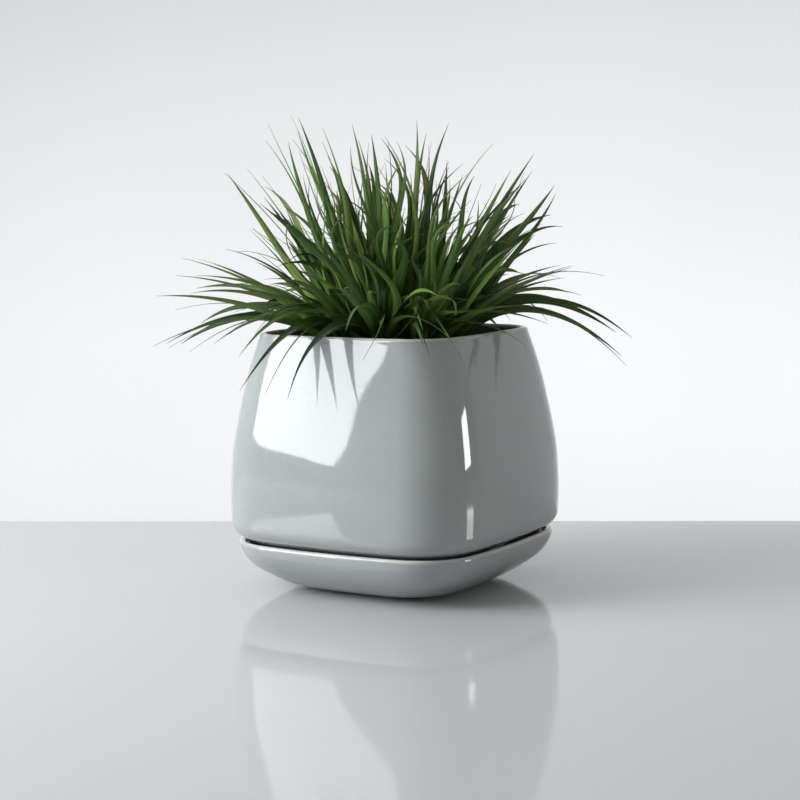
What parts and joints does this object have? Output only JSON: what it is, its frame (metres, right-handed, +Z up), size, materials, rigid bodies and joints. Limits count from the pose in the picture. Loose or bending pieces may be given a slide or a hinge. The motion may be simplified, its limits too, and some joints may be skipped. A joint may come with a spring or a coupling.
{
  "type": "self watering planter",
  "caption": "Rounded-square glazed ceramic pot standing in a matching reservoir dish, with a lift-out grow pot, a wick and a clump of grass.",
  "frame": {"origin": "centre of the base pad's underside, on the surface that the planter stands on", "axes": "+Z up; +X and +Y square to the flat sides of the pot"},
  "size_m": [0.3503, 0.3321, 0.353],
  "materials": {
    "glaze": "glossy pale grey-blue glaze, lighter where it thins on the rims",
    "felt": "pressed wool felt",
    "silicone": "translucent silicone rubber",
    "grow_pot_plastic": "moulded polypropylene",
    "wick_fibre": "bonded polyester fibre",
    "potting_soil": "moist peat and bark",
    "leaf": "satin, waxy grass leaves"
  },
  "bodies": {
    "dish": {"saucer": "glaze", "base_pad": "felt"},
    "pot": {"pot": "glaze", "pot_bumper_1": "silicone", "pot_bumper_2": "silicone", "pot_bumper_3": "silicone", "pot_bumper_4": "silicone", "drain_grommet": "silicone"},
    "grow_insert": {"liner": "grow_pot_plastic", "soil_platform": "grow_pot_plastic", "wick_collar": "grow_pot_plastic", "wick_rod": "wick_fibre", "soil": "potting_soil", "tuft_01": "leaf", "tuft_02": "leaf", "tuft_03": "leaf", "tuft_04": "leaf", "tuft_05": "leaf", "tuft_06": "leaf", "tuft_07": "leaf", "tuft_08": "leaf", "tuft_09": "leaf", "tuft_10": "leaf", "tuft_11": "leaf", "tuft_12": "leaf"}
  },
  "joints": [
    {"name": "pot_lift", "type": "slide", "parent": "dish", "child": "pot", "axis": [0, 0, 1], "range_m": [0, 0.08]},
    {"name": "grow_insert_lift", "type": "slide", "parent": "pot", "child": "grow_insert", "axis": [0, 0, 1], "range_m": [0, 0.2]}
  ]
}
